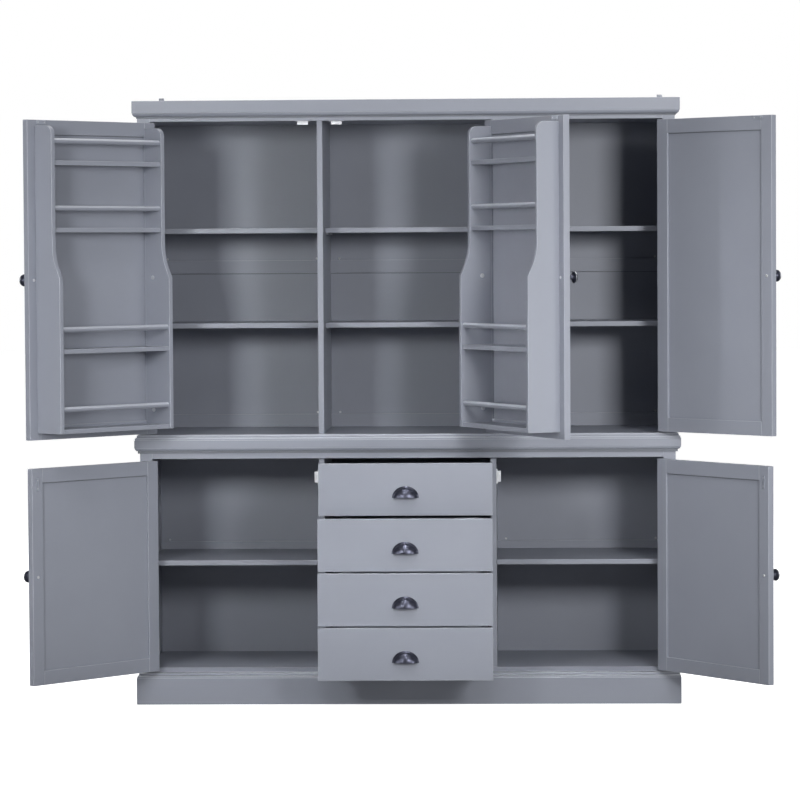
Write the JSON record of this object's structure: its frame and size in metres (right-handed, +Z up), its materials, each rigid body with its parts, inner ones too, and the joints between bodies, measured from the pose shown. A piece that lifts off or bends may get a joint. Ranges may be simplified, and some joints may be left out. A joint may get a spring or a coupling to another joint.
{
  "type": "kitchen pantry cabinet",
  "caption": "Tall painted larder: a shelved hutch whose framed doors carry spice racks, on a base with cupboards either side of a stack of drawers, with cornice, waist and plinth mouldings.",
  "frame": {"origin": "on the floor under the middle of the carcass, at the underside of the middle plinth bearer", "axes": "+X to the right seen from the front, +Y towards the back, +Z up; the doors and drawers face -Y"},
  "size_m": [2.4033, 1.0486, 1.997],
  "materials": {
    "painted_wood": "satin grey-blue paint on board",
    "pewter": "dark pewter, worn satin",
    "steel": "bright zinc plate",
    "white_plastic": "moulded white"
  },
  "bodies": {
    "cabinet": {"plinth_moulding": "painted_wood", "plinth_bearers": "painted_wood", "base_sides": "painted_wood", "base_dividers": "painted_wood", "base_bottom": "painted_wood", "base_top": "painted_wood", "base_back": "painted_wood", "base_face_frame": "painted_wood", "waist_moulding": "painted_wood", "hutch_sides": "painted_wood", "hutch_dividers": "painted_wood", "hutch_top": "painted_wood", "hutch_back_panels": "painted_wood", "hutch_face_frame": "painted_wood", "cornice": "painted_wood", "back_rails": "painted_wood", "hutch_shelves": "painted_wood", "base_shelves": "painted_wood", "shelf_pins": "steel", "magnetic_catches": "white_plastic", "wall_brackets": "steel", "hinge_fixed_leaves": "steel", "hinge_pins": "steel", "drawer_channels": "steel"},
    "upper_left_door": {"upper_left_door_frame": "painted_wood", "upper_left_door_panel": "painted_wood", "upper_left_door_hinge_leaves": "steel", "upper_left_door_knob": "pewter", "upper_left_door_rack_case": "painted_wood", "upper_left_door_rack_rails": "painted_wood"},
    "upper_middle_door": {"upper_middle_door_frame": "painted_wood", "upper_middle_door_panel": "painted_wood", "upper_middle_door_hinge_leaves": "steel", "upper_middle_door_knob": "pewter", "upper_middle_door_rack_case": "painted_wood", "upper_middle_door_rack_rails": "painted_wood"},
    "upper_right_door": {"upper_right_door_frame": "painted_wood", "upper_right_door_panel": "painted_wood", "upper_right_door_hinge_leaves": "steel", "upper_right_door_knob": "pewter"},
    "lower_left_door": {"lower_left_door_frame": "painted_wood", "lower_left_door_panel": "painted_wood", "lower_left_door_hinge_leaves": "steel", "lower_left_door_knob": "pewter"},
    "lower_right_door": {"lower_right_door_frame": "painted_wood", "lower_right_door_panel": "painted_wood", "lower_right_door_hinge_leaves": "steel", "lower_right_door_knob": "pewter"},
    "top_drawer": {"top_drawer_front": "painted_wood", "top_drawer_box": "painted_wood", "top_drawer_pull": "pewter"},
    "second_drawer": {"second_drawer_front": "painted_wood", "second_drawer_box": "painted_wood", "second_drawer_pull": "pewter"},
    "third_drawer": {"third_drawer_front": "painted_wood", "third_drawer_box": "painted_wood", "third_drawer_pull": "pewter"},
    "bottom_drawer": {"bottom_drawer_front": "painted_wood", "bottom_drawer_box": "painted_wood", "bottom_drawer_pull": "pewter"}
  },
  "joints": [
    {"name": "upper_left_door_hinge", "type": "hinge", "parent": "cabinet", "child": "upper_left_door", "pos_m": [-0.8305, -0.2595, 1.391], "axis": [0, 0, -1], "range_deg": [-131, 39]},
    {"name": "upper_middle_door_hinge", "type": "hinge", "parent": "cabinet", "child": "upper_middle_door", "pos_m": [0.2795, -0.2595, 1.391], "axis": [0, 0, 1], "range_deg": [-116.5, 33.5]},
    {"name": "upper_right_door_hinge", "type": "hinge", "parent": "cabinet", "child": "upper_right_door", "pos_m": [0.8305, -0.2595, 1.391], "axis": [0, 0, 1], "range_deg": [-134.5, 35.5]},
    {"name": "lower_left_door_hinge", "type": "hinge", "parent": "cabinet", "child": "lower_left_door", "pos_m": [-0.8305, -0.2595, 0.455], "axis": [0, 0, -1], "range_deg": [-130.4, 39.6]},
    {"name": "lower_right_door_hinge", "type": "hinge", "parent": "cabinet", "child": "lower_right_door", "pos_m": [0.8305, -0.2595, 0.455], "axis": [0, 0, 1], "range_deg": [-127, 43]},
    {"name": "top_drawer_slide", "type": "slide", "parent": "cabinet", "child": "top_drawer", "axis": [0, -1, 0], "range_m": [-0.215, 0.165]},
    {"name": "second_drawer_slide", "type": "slide", "parent": "cabinet", "child": "second_drawer", "axis": [0, -1, 0], "range_m": [-0.285, 0.095]},
    {"name": "third_drawer_slide", "type": "slide", "parent": "cabinet", "child": "third_drawer", "axis": [0, -1, 0], "range_m": [-0.3, 0.08]},
    {"name": "bottom_drawer_slide", "type": "slide", "parent": "cabinet", "child": "bottom_drawer", "axis": [0, -1, 0], "range_m": [-0.31, 0.07]}
  ]
}
